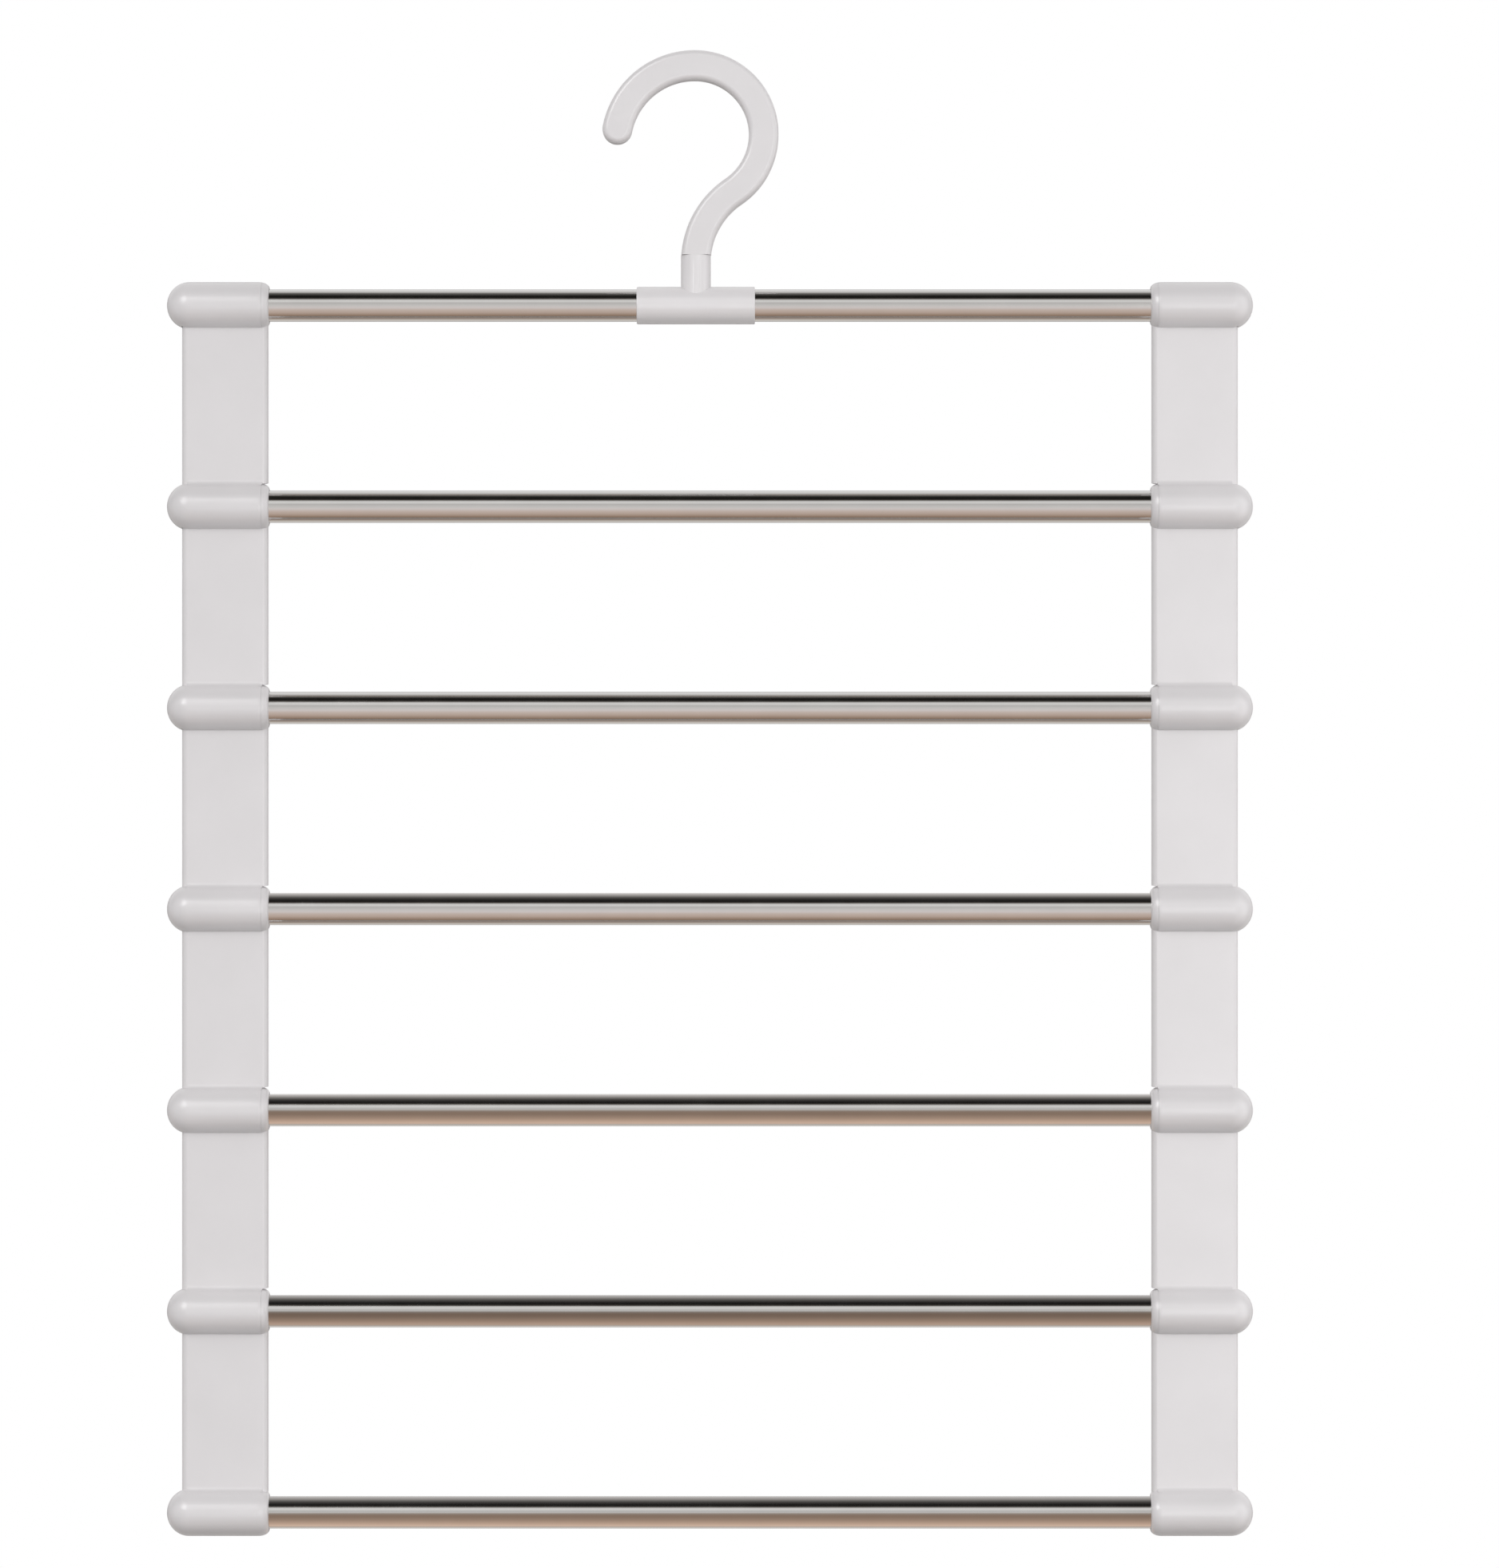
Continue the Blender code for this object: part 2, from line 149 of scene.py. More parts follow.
bore_radius = bar_radius + BORE_CLEARANCE
plate_inner = nose_face + NOSE_PROUD
plate_outer = dome_apex - DOME_DEPTH
collar_back = nose_face + COLLAR_LENGTH
barrel_mouth = collar_back + MOUTH_SEAM
barrel_floor = bar_half + BORE_CLEARANCE
eye_radius = bar_radius + BORE_CLEARANCE + EYE_WALL
chamber_radius = eye_radius + EYE_CLEARANCE


def axis_height(tier):
    """Height of a tier's bar axis."""
    return first_axis - pitch * (tier - 1)


# Mesh work


def linked(name, mesh):
    """An object of a mesh, linked to the scene; working objects are removed after use."""
    obj = bpy.data.objects.new(name, mesh)
    bpy.context.scene.collection.objects.link(obj)
    return obj


def mesh_from(name, bm):
    """A mesh made from a bmesh, merged and with its faces pointing out."""
    bmesh.ops.remove_doubles(bm, verts=bm.verts, dist=MERGE)
    bmesh.ops.recalc_face_normals(bm, faces=bm.faces)
    mesh = bpy.data.meshes.new(name)
    bm.to_mesh(mesh)
    bm.free()
    return mesh


def opened(mesh):
    """A bmesh of a mesh, to work on."""
    bm = bmesh.new()
    bm.from_mesh(mesh)
    return bm


def applied(obj):
    """A plain mesh of a working object with its modifiers applied."""
    bpy.context.view_layer.update()
    graph = bpy.context.evaluated_depsgraph_get()
    return bpy.data.meshes.new_from_object(obj.evaluated_get(graph))


def spread(start, end, steps):
    """Evenly spaced angles, both ends included."""
    return [start + (end - start) * i / steps for i in range(steps + 1)]


def arc(centre, radius, start, end, steps):
    """Points of an arc in its plane, both ends included."""
    return [(centre[0] + radius * math.cos(a), centre[1] + radius * math.sin(a))
            for a in spread(start, end, steps)]


def turned(name, profile, axis="X"):
    """A profile of (place along the axis, radius) points turned round the X or the Z axis."""
    bm = bmesh.new()
    if axis == "X":
        points = [(place, 0, radius) for place, radius in profile]
        turn = (1, 0, 0)
    else:
        points = [(radius, 0, place) for place, radius in profile]
        turn = (0, 0, 1)
    verts = [bm.verts.new(point) for point in points]
    edges = [bm.edges.new(pair) for pair in zip(verts, verts[1:])]
    bmesh.ops.spin(bm, geom=verts + edges, axis=turn, cent=(0, 0, 0), angle=math.tau,
                   steps=TURN_STEPS, use_merge=True)
    return mesh_from(name, bm)


def extruded(name, outline, low, high, axis):
    """An outline in the plane of two axes, extruded along the third from a low to a high place."""
    along = "XYZ".index(axis)
    bm = bmesh.new()
    verts = []
    for first, second in outline:
        point = [first, second]
        point.insert(along, low)
        verts.append(bm.verts.new(point))
    pulled = bmesh.ops.extrude_face_region(bm, geom=[bm.faces.new(verts)])
    moved = [item for item in pulled["geom"] if isinstance(item, bmesh.types.BMVert)]
    step = Vector((0, 0, 0))
    step[along] = high - low
    bmesh.ops.translate(bm, vec=step, verts=moved)
    return mesh_from(name, bm)


def round_off(bm, edges, width, steps):
    """Round chosen edges of a bmesh."""
    bmesh.ops.bevel(bm, geom=edges, offset=width, segments=steps, profile=ROUND_PROFILE,
                    affect="EDGES", clamp_overlap=True)


def joined(name, base, steps):
    """Join and cut a mesh with others, one (operation, mesh) step after the other."""
    obj = linked(name, base)
    for operation, mesh in steps:
        tool = linked("tool", mesh)
        modifier = obj.modifiers.new("step", "BOOLEAN")
        modifier.operation = operation
        modifier.solver = "EXACT"
        modifier.object = tool
        result = applied(obj)
        obj.modifiers.clear()
        obj.data = mesh_from(name, opened(result))
        bpy.data.objects.remove(tool)
    mesh = obj.data
    bpy.data.objects.remove(obj)
    return mesh


def placed(mesh, offset):
    """A copy of a mesh, moved."""
    copy = mesh.copy()
    copy.transform(Matrix.Translation(offset))
    return copy


def mirrored(mesh):
    """The left-hand copy of a right-hand mesh."""
    copy = mesh.copy()
    copy.transform(Matrix.Scale(-1, 4, (1, 0, 0)))
    copy.flip_normals()
    return copy


def finished(name, mesh, material, body, node, sharp=SHARP):
    """Put a finished mesh in the scene in place of its node, smooth but for its sharp edges."""
    mesh.name = name
    mesh.materials.clear()
    mesh.materials.append(material)
    mesh.shade_smooth()
    mesh.set_sharp_from_angle(angle=sharp)
    obj = linked(name, mesh)
    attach(obj, body)
    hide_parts(node)
    return obj


def evened(obj):
    """Let the large faces of a moulding lead the shading of its rounded edges."""
    weighted = obj.modifiers.new("even_shading", "WEIGHTED_NORMAL")
    weighted.keep_sharp = True
    weighted.weight = FACE_WEIGHT


# Node trees


def node(tree, kind, **settings):
    """A node with its properties and its inputs set by name."""
    made = tree.nodes.new(kind)
    for key, value in settings.items():
        if hasattr(made, key):
            setattr(made, key, value)
        else:
            made.inputs[key.replace("_", " ")].default_value = value
    return made


def new_finish(name):
    """A new material and its node tree."""
    finish = bpy.data.materials.new(name)
    finish.use_nodes = True
    return finish, finish.node_tree


def noise(tree, place, settings):
    """The value of a noise over a place."""
    made = node(tree, "ShaderNodeTexNoise", **settings)
    tree.links.new(place, made.inputs["Vector"])
    return made.outputs["Fac"]


def uneven_tone(tree, value, ends, tones):
    """Let the base colour follow a value between two ends, from one tone to the other."""
    tint = node(tree, "ShaderNodeValToRGB")
    for element, end, tone in zip(tint.color_ramp.elements, ends, tones):
        element.position = end
        element.color = (*tone, 1)
    tree.links.new(value, tint.inputs["Fac"])
    tree.links.new(tint.outputs["Color"], tree.nodes["Principled BSDF"].inputs["Base Color"])


def uneven_gloss(tree, value, ends, roughness):
    """Let the roughness follow a value between two ends."""
    gloss = node(tree, "ShaderNodeMapRange", From_Min=ends[0], From_Max=ends[1],
                 To_Min=roughness[0], To_Max=roughness[1])
    tree.links.new(value, gloss.inputs["Value"])
    tree.links.new(gloss.outputs["Result"], tree.nodes["Principled BSDF"].inputs["Roughness"])


def relief(tree, value, settings):
    """Let the surface seem raised by a value."""
    bump = node(tree, "ShaderNodeBump", **settings)
    tree.links.new(value, bump.inputs["Height"])
    tree.links.new(bump.outputs["Normal"], tree.nodes["Principled BSDF"].inputs["Normal"])


# White moulded plastic: the hook and the sleeve get copies painted a touch lighter than the sides,
# painted light for the top of the hanger, which the lamps light less

PLASTIC_TONES = ((0.628, 0.609, 0.616), (0.652, 0.632, 0.640))
PLASTIC_CLOUDS = {"Scale": 45.0, "Detail": 3.0, "Roughness": 0.5}
PLASTIC_SMEARS = {"Scale": 160.0, "Detail": 4.0, "Roughness": 0.6}
PLASTIC_ENDS = (0.3, 0.7)
PLASTIC_ROUGHNESS = (0.28, 0.34)
PLASTIC_GRAIN = {"Scale": 500.0, "Detail": 1.0, "Roughness": 0.4}
PLASTIC_RELIEF = {"Strength": 0.5, "Distance": 0.00002}
PLASTIC_IOR = 1.6
PLASTIC_SPECULAR = 0.8
SIDE_TINT = 1.0
HOOK_PAINTED_LIGHT = 1.045
SLEEVE_PAINTED_LIGHT = 1.085

# Polished steel: the lines are a noise drawn out along the tube

STEEL_TONES = ((0.600, 0.590, 0.580), (0.650, 0.640, 0.630))
STEEL_TONE_ENDS = (0, 1)
STEEL_LINES = {"Scale": 2600.0, "Detail": 3.0, "Roughness": 0.55}
STEEL_STRETCH = (0.012, 1, 1)
STEEL_RELIEF = {"Strength": 0.12, "Distance": 0.000004}
STEEL_HAZE = {"Scale": 70.0, "Detail": 4.0, "Roughness": 0.6}
STEEL_HAZE_ENDS = (0.35, 0.7)
STEEL_ROUGHNESS = (0.07, 0.12)


def plastic(name, tint):
    """White moulded plastic: faint clouding, uneven gloss and a fine eroded grain."""
    finish, tree = new_finish(name)
    place = node(tree, "ShaderNodeTexCoord").outputs["Object"]
    # A tint over 1 paints in light: a lighter copy of the same plastic
    tones = [[part * tint for part in tone] for tone in PLASTIC_TONES]
    uneven_tone(tree, noise(tree, place, PLASTIC_CLOUDS), PLASTIC_ENDS, tones)
    uneven_gloss(tree, noise(tree, place, PLASTIC_SMEARS), PLASTIC_ENDS, PLASTIC_ROUGHNESS)
    relief(tree, noise(tree, place, PLASTIC_GRAIN), PLASTIC_RELIEF)
    shader = tree.nodes["Principled BSDF"]
    shader.inputs["IOR"].default_value = PLASTIC_IOR
    shader.inputs["Specular IOR Level"].default_value = PLASTIC_SPECULAR
    return finish


def polished_steel():
    """Bright drawn tube: a mirror with faint lines along its length and a breath of haze."""
    finish, tree = new_finish("polished_steel")
    place = node(tree, "ShaderNodeTexCoord").outputs["Object"]
    along = node(tree, "ShaderNodeMapping", Scale=STEEL_STRETCH)
    tree.links.new(place, along.inputs["Vector"])
    relief(tree, noise(tree, along.outputs["Vector"], STEEL_LINES), STEEL_RELIEF)
    haze = noise(tree, place, STEEL_HAZE)
    uneven_gloss(tree, haze, STEEL_HAZE_ENDS, STEEL_ROUGHNESS)
    uneven_tone(tree, haze, STEEL_TONE_ENDS, STEEL_TONES)
    tree.nodes["Principled BSDF"].inputs["Metallic"].default_value = 1.0
    return finish


side_satin = plastic("white_satin_plastic", SIDE_TINT)
# Lighter copies for the hook and the sleeve: painted light
hook_satin_painted_lighter = plastic("white_hook_plastic_painted_lighter", HOOK_PAINTED_LIGHT)
sleeve_satin_painted_lighter = plastic("white_sleeve_plastic_painted_lighter", SLEEVE_PAINTED_LIGHT)
steel = polished_steel()


# Tubes


def tube_tree():
    """Geometry nodes for a bar: a lipped wall swept round a circle and laid along X."""
    tree = bpy.data.node_groups.new("bar_tube", "GeometryNodeTree")
    for name, kind in (
        ("Radius", "NodeSocketFloat"),
        ("Wall", "NodeSocketFloat"),
        ("Length", "NodeSocketFloat"),
        ("Lip", "NodeSocketFloat"),
        ("Sides", "NodeSocketInt"),
        ("Middle", "NodeSocketVector"),
        ("Finish", "NodeSocketMaterial"),
    ):
        tree.interface.new_socket(name, in_out="INPUT", socket_type=kind)
    tree.interface.new_socket("Bar", in_out="OUTPUT", socket_type="NodeSocketGeometry")
    link = tree.links.new
    sizes = node(tree, "NodeGroupInput")
    result = node(tree, "NodeGroupOutput")

    half_wall = node(tree, "ShaderNodeMath", operation="MULTIPLY")
    half_wall.inputs[1].default_value = 0.5
    mean = node(tree, "ShaderNodeMath", operation="SUBTRACT")
    link(sizes.outputs["Wall"], half_wall.inputs[0])
    link(sizes.outputs["Radius"], mean.inputs[0])
    link(half_wall.outputs[0], mean.inputs[1])

    round_path = node(tree, "GeometryNodeCurvePrimitiveCircle")
    wall = node(tree, "GeometryNodeCurvePrimitiveQuadrilateral")
    lips = node(tree, "GeometryNodeFilletCurve", mode="POLY")
    lips.inputs["Count"].default_value = TUBE_LIP_STEPS
    sweep = node(tree, "GeometryNodeCurveToMesh")
    link(sizes.outputs["Sides"], round_path.inputs["Resolution"])
    link(mean.outputs[0], round_path.inputs["Radius"])
    link(sizes.outputs["Wall"], wall.inputs["Width"])
    link(sizes.outputs["Length"], wall.inputs["Height"])
    link(wall.outputs["Curve"], lips.inputs["Curve"])
    link(sizes.outputs["Lip"], lips.inputs["Radius"])
    link(round_path.outputs["Curve"], sweep.inputs["Curve"])
    link(lips.outputs["Curve"], sweep.inputs["Profile Curve"])

    lay = node(tree, "GeometryNodeTransform")
    lay.inputs["Rotation"].default_value = (0, QUARTER_TURN, 0)
    put = node(tree, "GeometryNodeTransform")
    real = node(tree, "GeometryNodeRealizeInstances")
    finish = node(tree, "GeometryNodeSetMaterial")
    link(sweep.outputs["Mesh"], lay.inputs["Geometry"])
    link(lay.outputs["Geometry"], put.inputs["Geometry"])
    link(sizes.outputs["Middle"], put.inputs["Translation"])
    link(put.outputs["Geometry"], real.inputs["Geometry"])
    link(real.outputs["Geometry"], finish.inputs["Geometry"])
    link(sizes.outputs["Finish"], finish.inputs["Material"])
    link(finish.outputs["Geometry"], result.inputs["Bar"])
    return tree


def from_tree(name, tree, sizes):
    """The plain mesh that a node tree makes with the given inputs."""
    obj = linked(name, bpy.data.meshes.new(name))
    modifier = obj.modifiers.new("shape", "NODES")
    modifier.node_group = tree
    for item in tree.interface.items_tree:
        if item.in_out == "INPUT":
            modifier[item.identifier] = sizes[item.name]
    mesh = applied(obj)
    bpy.data.objects.remove(obj)
    return mesh


def make_bars():
    """Every tier's tube."""
    tree = tube_tree()
    for tier in range(1, tiers + 1):
        mesh = from_tree(f"tube_{tier}", tree, {
            "Radius": bar_radius,
            "Wall": TUBE_WALL,
            "Length": 2 * bar_half,
            "Lip": TUBE_LIP,
            "Sides": TUBE_SIDES,
            "Middle": (middle, 0, axis_height(tier)),
            "Finish": steel,
        })
        mesh = mesh_from(f"tube_{tier}", opened(mesh))
        body = "top_bar" if tier == 1 else f"tier_{tier}"
        finished(f"tube_{tier}", mesh, steel, body, f"bar_{tier}", TUBE_SHARP)


# Side links


def nose(start, end):
    """The bull nose round the bar, between two distances from its flat face."""
    low, high = (math.acos(1 - along / NOSE_LENGTH) for along in (start, end))
    return [(nose_face + NOSE_LENGTH * (1 - math.cos(a)),
             barrel_radius - NOSE_DROP * (1 - math.sin(a)))
            for a in spread(low, high, ARC_STEPS)]


def dome():
    """The elliptical dome, from the barrel's surface to the apex on the axis."""
    start = dome_apex - DOME_LENGTH
    points = [(start + DOME_LENGTH * math.sin(a), barrel_radius * math.cos(a))
              for a in spread(0, QUARTER_TURN, DOME_STEPS)]
    points[-1] = (dome_apex, 0)
    return points


def open_barrel():
    """The barrel that houses an eye."""
    profile = [(barrel_mouth, 0)] + nose(barrel_mouth - nose_face, NOSE_LENGTH) + dome()
    return turned("open_barrel", profile)


def closed_barrel():
    """The lowest barrel, which has the whole bull nose itself."""
    return turned("closed_barrel", [(nose_face, 0)] + nose(0, NOSE_LENGTH) + dome())


def eye():
    """The thin eye behind the collar that starts the bull nose, still solid."""
    end = plate_outer - BORE_CLEARANCE
    profile = [(nose_face, 0)] + nose(0, COLLAR_LENGTH)
    profile += [(collar_back, eye_radius), (end, eye_radius), (end, 0)]
    return turned("eye", profile)


def plate():
    """The flat plate between two axes, with rounded upright edges."""
    inner, outer = plate_inner + PLATE_EDGE, plate_outer - PLATE_EDGE
    depth = PLATE_THICKNESS / 2 - PLATE_EDGE
    corners = ((outer, depth), (inner, depth), (inner, -depth), (outer, -depth))
    outline = []
    for turn, centre in enumerate(corners):
        start = turn * QUARTER_TURN
        outline += arc(centre, PLATE_EDGE, start, start + QUARTER_TURN, ARC_STEPS)
    return extruded("plate", outline, -pitch, 0, "Z")


def root():
    """The fillets in which the plate runs out on top of its own barrel, about the lower axis."""
    half = PLATE_THICKNESS / 2
    side = half + ROOT_FILLET
    rise = math.sqrt((barrel_radius + ROOT_FILLET) ** 2 - side ** 2)
    foot = math.atan2(-rise, -side)
    rear = arc((side, rise), ROOT_FILLET, HALF_TURN, 2 * HALF_TURN + foot, ARC_STEPS)
    front = [(-across, up) for across, up in rear[::-1]]
    outline = rear + [(0, barrel_radius - OVERLAP)] + front
    return extruded("root", outline, plate_inner + PLATE_EDGE, plate_outer - PLATE_EDGE, "X")


def fold_wedge():
    """The slot under a barrel: the wedge that a plate sweeps as it folds to the rear."""
    half = PLATE_THICKNESS / 2 + SLOT_SEAM
    reach = barrel_radius + REACH
    across = (math.sin(FOLD_OPENING), -math.cos(FOLD_OPENING))
    normal = (math.cos(FOLD_OPENING), math.sin(FOLD_OPENING))
    corner = reach * math.sqrt(2)
    outline = [
        (-half, 0),
        (-half, -reach),
        (0, -corner),
        (corner * across[0], corner * across[1]),
        (across[0] * reach + normal[0] * half, across[1] * reach + normal[1] * half),
        (normal[0] * half, normal[1] * half),
    ]
    return extruded("fold_wedge", outline, barrel_mouth - REACH, barrel_floor, "X")


def cap_chamber():
    """Room for the eye in a cap, which lies clear of the collar."""
    low, high = barrel_mouth - REACH, barrel_floor
    profile = [(low, 0), (low, chamber_radius), (high, chamber_radius), (high, 0)]
    return turned("cap_chamber", profile)


def chamber():
    """Room for the eye in a barrel, and beside its mouth for the collar."""
    room = barrel_radius + BORE_CLEARANCE
    profile = [
        (nose_face - REACH, 0),
        (nose_face - REACH, room),
        (barrel_mouth, room),
        (barrel_mouth, chamber_radius),
        (barrel_floor, chamber_radius),
        (barrel_floor, 0),
    ]
    return turned("chamber", profile)


def bore(end):
    """The hole for the bar, from before the nose to an end."""
    low = nose_face - REACH
    profile = [(low, 0), (low, bore_radius), (end, bore_radius), (end, 0)]
    return turned("bore", profile)


def rounded_lips(mesh, axis):
    """Break the long edges of the slot under a barrel whose axis is at a height."""
    bm = opened(mesh)
    surface = barrel_radius - NOSE_DROP / 2
    chosen = []
    for edge in bm.edges:
        if not edge.is_manifold or edge.calc_face_angle(0) < LIP_SHARP:
            continue
        low, high = (vert.co for vert in edge.verts)
        outer = all(math.hypot(co.y, co.z - axis) > surface for co in (low, high))
        if outer and abs(low.x - high.x) > abs(low.y - high.y):
            chosen.append(edge)
    round_off(bm, chosen, LIP_ROUND, LIP_STEPS)
    return mesh_from(mesh.name, bm)


def make_links():
    """The caps on the first bar and the links of every tier, right and left."""
    below = (0, 0, -pitch)
    barrel = open_barrel()
    wedge = fold_wedge()
    cap = joined("cap", barrel.copy(), [
        ("DIFFERENCE", wedge.copy()),
        ("DIFFERENCE", cap_chamber()),
    ])
    start = [("UNION", placed(root(), below))]
    through = ("DIFFERENCE", bore(plate_outer + REACH))
    link = joined("link", plate(), start + [
        ("UNION", placed(barrel, below)),
        ("UNION", eye()),
        ("DIFFERENCE", placed(wedge, below)),
        ("DIFFERENCE", placed(chamber(), below)),
        through,
    ])
    last = joined("last_link", plate(), start + [
        ("UNION", placed(closed_barrel(), below)),
        ("UNION", eye()),
        ("DIFFERENCE", placed(bore(barrel_floor), below)),
        through,
    ])
    cap = rounded_lips(cap, 0)
    link = rounded_lips(link, -pitch)
    for tier in range(1, tiers + 1):
        shape = cap if tier == 1 else (last if tier == tiers else link)
        body = "top_caps" if tier == 1 else f"tier_{tier}"
        top = (middle, 0, axis_height(max(tier - 1, 1)))
        for side, half in (("right", shape), ("left", mirrored(shape))):
            name = f"cap_{side}" if tier == 1 else f"link_{tier - 1}_{side}"
            replaced = f"top_cap_{side}" if tier == 1 else f"side_link_{tier - 1}_{side}"
            evened(finished(name, placed(half, top), side_satin, body, replaced))


# Tee sleeve


def make_sleeve():
    """The sleeve on the first bar, and its boss with the socket for the hook's stud."""
    corner = arc((sleeve_half - SLEEVE_EDGE, sleeve_radius - SLEEVE_EDGE), SLEEVE_EDGE,
                 QUARTER_TURN, 0, RIM_STEPS)
    right = corner + [(sleeve_half, 0)]
    profile = [(-place, radius) for place, radius in right[::-1]] + right
    tube = turned("sleeve", profile)
    rim = arc((BOSS_RADIUS - BOSS_EDGE, boss_top - BOSS_EDGE), BOSS_EDGE,
              QUARTER_TURN, 0, RIM_STEPS)
    profile = [(boss_top, 0)] + [(up, out) for out, up in rim] + [(0, BOSS_RADIUS), (0, 0)]
    boss = turned("boss", profile, "Z")
    socket = turned("socket", [
        (boss_top + REACH, 0),
        (boss_top + REACH, STUD_RADIUS + BORE_CLEARANCE),
        (SOCKET_LIP, STUD_RADIUS + BORE_CLEARANCE),
        (SOCKET_LIP, STUD_HEAD + BORE_CLEARANCE),
        (SOCKET_FLOOR, STUD_HEAD + BORE_CLEARANCE),
        (SOCKET_FLOOR, 0),
    ], "Z")
    hole = [(-sleeve_half - REACH, 0), (-sleeve_half - REACH, bore_radius)]
    hole += [(-place, radius) for place, radius in hole[::-1]]
    bm = opened(joined("tee", tube, [("UNION", boss)]))
    foot = [edge for edge in bm.edges
            if edge.is_manifold and edge.calc_face_angle_signed(0) < -FOOT_SHARP]
    round_off(bm, foot, FOOT_FILLET, FOOT_STEPS)
    tee = joined("tee", mesh_from("tee", bm), [
        ("DIFFERENCE", turned("sleeve_bore", hole)),
        ("DIFFERENCE", socket),
    ])
    tee = placed(tee, (0, 0, first_axis))
    evened(finished("sleeve", tee, sleeve_satin_painted_lighter, "tee", "tee_sleeve"))


# Hook


def hook_outline():
    """The hook seen from the front: both sides of its centre line, and the round tip."""
    half = HOOK_WIDTH / 2
    crown_line = half
    crown_centre = crown_line - CROWN_RADIUS
    bend_start = crown_centre - CROWN_RISE
    bend = CROWN_RISE ** 2 + CROWN_OFFSET ** 2 - CROWN_RADIUS ** 2
    bend /= 2 * (CROWN_RADIUS + CROWN_OFFSET)
    turn = math.atan2(CROWN_RISE, bend - CROWN_OFFSET)
    tip_centre = (CROWN_OFFSET, crown_line - TIP_SIDE_RADIUS)
    runs = []
    for offset in (half, -half):
        run = [(-offset, bend_start - REACH)]
        run += arc((bend, bend_start), bend + offset, HALF_TURN, HALF_TURN - turn,
                   math.ceil(turn / HOOK_STEP))
        run += arc((CROWN_OFFSET, crown_centre), CROWN_RADIUS - offset, -turn, QUARTER_TURN,
                   math.ceil((QUARTER_TURN + turn) / HOOK_STEP))[1:]
        run += arc(tip_centre, TIP_SIDE_RADIUS - offset, QUARTER_TURN, TIP_ANGLE,
                   math.ceil((TIP_ANGLE - QUARTER_TURN) / HOOK_STEP))[1:]
        runs.append(run)
    inner, outer = runs
    tip = arc(tip_centre, TIP_SIDE_RADIUS, TIP_ANGLE, TIP_ANGLE, 1)[0]
    end = arc(tip, half, TIP_ANGLE, TIP_ANGLE + HALF_TURN, math.ceil(QUARTER_TURN / HOOK_STEP))
    return outer + end[1:-1] + inner[::-1]


def make_hook():
    """The hook, cut flat at the shoulder over the boss, and the stud under it."""
    half = HOOK_DEPTH / 2
    blank = linked("blank", extruded("blank", hook_outline(), -half, half, "Y"))
    edges = blank.modifiers.new("rounded_edges", "BEVEL")
    edges.width = HOOK_ROUND
    edges.segments = HOOK_ROUND_STEPS
    edges.limit_method = "ANGLE"
    edges.angle_limit = HOOK_SHARP
    body = applied(blank)
    bpy.data.objects.remove(blank)
    shoulder = first_axis + boss_top + SHOULDER_GAP
    wide = 2 * HOOK_WIDTH
    bottom = shoulder - wide
    corners = [(-wide, bottom), (wide, bottom), (wide, shoulder), (-wide, shoulder)]
    below = extruded("below", corners, -wide, wide, "Y")
    stud = turned("stud", [
        (boss_top + SHOULDER_GAP + OVERLAP, 0),
        (boss_top + SHOULDER_GAP + OVERLAP, STUD_RADIUS),
        (SOCKET_LIP - SHOULDER_GAP, STUD_RADIUS),
        (SOCKET_LIP - SHOULDER_GAP, STUD_HEAD),
        (SOCKET_LIP - OVERLAP, STUD_HEAD),
        (SOCKET_FLOOR + OVERLAP, STUD_RADIUS),
        (SOCKET_FLOOR + OVERLAP, 0),
    ], "Z")
    hook = joined("hook", body, [
        ("DIFFERENCE", below),
        ("UNION", placed(stud, (0, 0, first_axis))),
    ])
    evened(finished("swivel_hook", hook, hook_satin_painted_lighter, "hook", "hook"))


# Studio: the camera is placed by the ladder's middle and one tier's bar axis in the photo

PHOTO_WIDTH = 1876
PHOTO_HEIGHT = 1963
PIXELS_PER_METRE = 3597
MIDDLE_PIXEL = 888.5
SIGHTED_TIER = 4
SIGHTED_PIXEL = 1138
CAMERA_DISTANCE = 2.2
CAMERA_CLIP = (0.01, 50)
SENSOR = 36.0

WHITE = (1, 1, 1, 1)
FLOOR_DROP = 0.25
FLOOR_HALF = 0.9
FLOOR_COLOR = (0.28, 0.28, 0.28, 1)
FLOOR_GLOW = 0.75

# Soft light on the hanger, by degrees over the horizon, from straight down to straight up
STRAIGHT_UP = 90
SOFT_LIGHT = (
    (-90, 0.02),
    (-40, 0.05),
    (-12, 0.22),
    (0, 0.40),
    (35, 0.62),
    (90, 0.68),
)

# What the studio shows to glossy rays, by degrees over the front horizon: 90 is up, 180 the rear
STRAIGHT_BACK = 180
SURROUNDINGS = (
    (-180, (0.55, 0.54, 0.53)),
    (-172, (0.40, 0.38, 0.37)),
    (-162, (0.26, 0.24, 0.23)),
    (-150, (0.88, 0.85, 0.82)),
    (-130, (0.80, 0.75, 0.70)),
    (-104, (0.38, 0.30, 0.25)),
    (-88, (0.30, 0.21, 0.16)),
    (-74, (0.46, 0.33, 0.25)),
    (-53, (0.69, 0.55, 0.47)),
    (-35, (0.80, 0.67, 0.60)),
    (-17, (0.93, 0.87, 0.86)),
    (0, (0.82, 0.81, 0.80)),
    (14, (0.70, 0.69, 0.68)),
    (27, (0.98, 0.98, 0.97)),
    (35, (0.88, 0.87, 0.86)),
    (45, (0.10, 0.09, 0.08)),
    (54, (0.012, 0.011, 0.010)),
    (70, (0.015, 0.014, 0.012)),
    (92, (0.22, 0.21, 0.20)),
    (108, (0.80, 0.79, 0.78)),
    (130, (1.0, 1.0, 1.0)),
    (149, (1.0, 1.0, 1.0)),
    (160, (0.22, 0.21, 0.20)),
    (170, (0.40, 0.39, 0.38)),
    (180, (0.55, 0.54, 0.53)),
)

# In that angle a ray's reach to the side counts as this share of a reach to the front
SIDE_WALLS = 0.5

